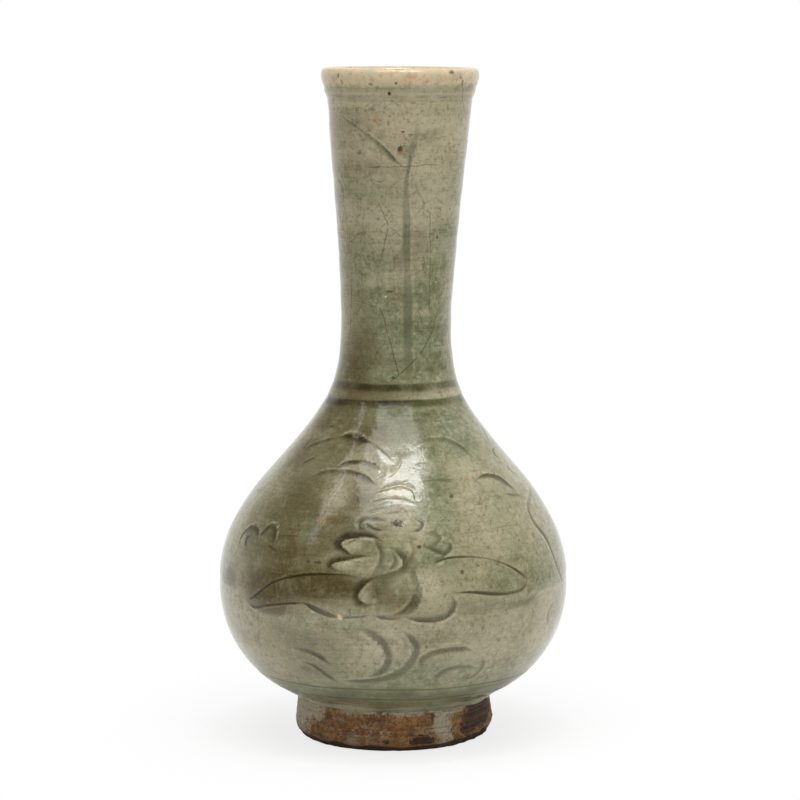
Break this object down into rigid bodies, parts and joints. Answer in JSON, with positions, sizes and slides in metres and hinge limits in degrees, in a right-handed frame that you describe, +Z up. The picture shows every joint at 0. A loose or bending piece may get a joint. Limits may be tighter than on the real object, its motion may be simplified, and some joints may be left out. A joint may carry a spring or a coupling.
{
  "type": "celadon bottle vase",
  "caption": "Long-necked bottle vase of stoneware under crackled celadon glaze, with a round belly, a rolled lip and a turned bare foot.",
  "frame": {"origin": "centre of the foot's contact ring, on the surface that the vase stands on", "axes": "+Z up along the vase; -Y is the carved front that the picture shows; +X is to the right of that view, the way the neck leans"},
  "size_m": [0.141, 0.141, 0.27],
  "materials": {
    "bare_foot": "unglazed stoneware, burnt orange-brown from the kiln, with fine turning lines and dark patches",
    "stoneware_body": "fired grey stoneware, matt, hidden under the glaze",
    "slip": "fired slip at the luted joints, matt, hidden under the glaze",
    "celadon_glaze": "glossy grey-olive celadon with brown crazing, darker where it pools in carving, buff at the lip"
  },
  "bodies": {
    "root": {"turned_foot": "bare_foot", "foot_slip": "slip", "lower_bowl": "stoneware_body", "belly_slip": "slip", "upper_dome": "stoneware_body", "neck_slip": "slip", "neck_tube": "stoneware_body", "inner_glaze": "celadon_glaze", "outer_glaze": "celadon_glaze"}
  },
  "joints": []
}
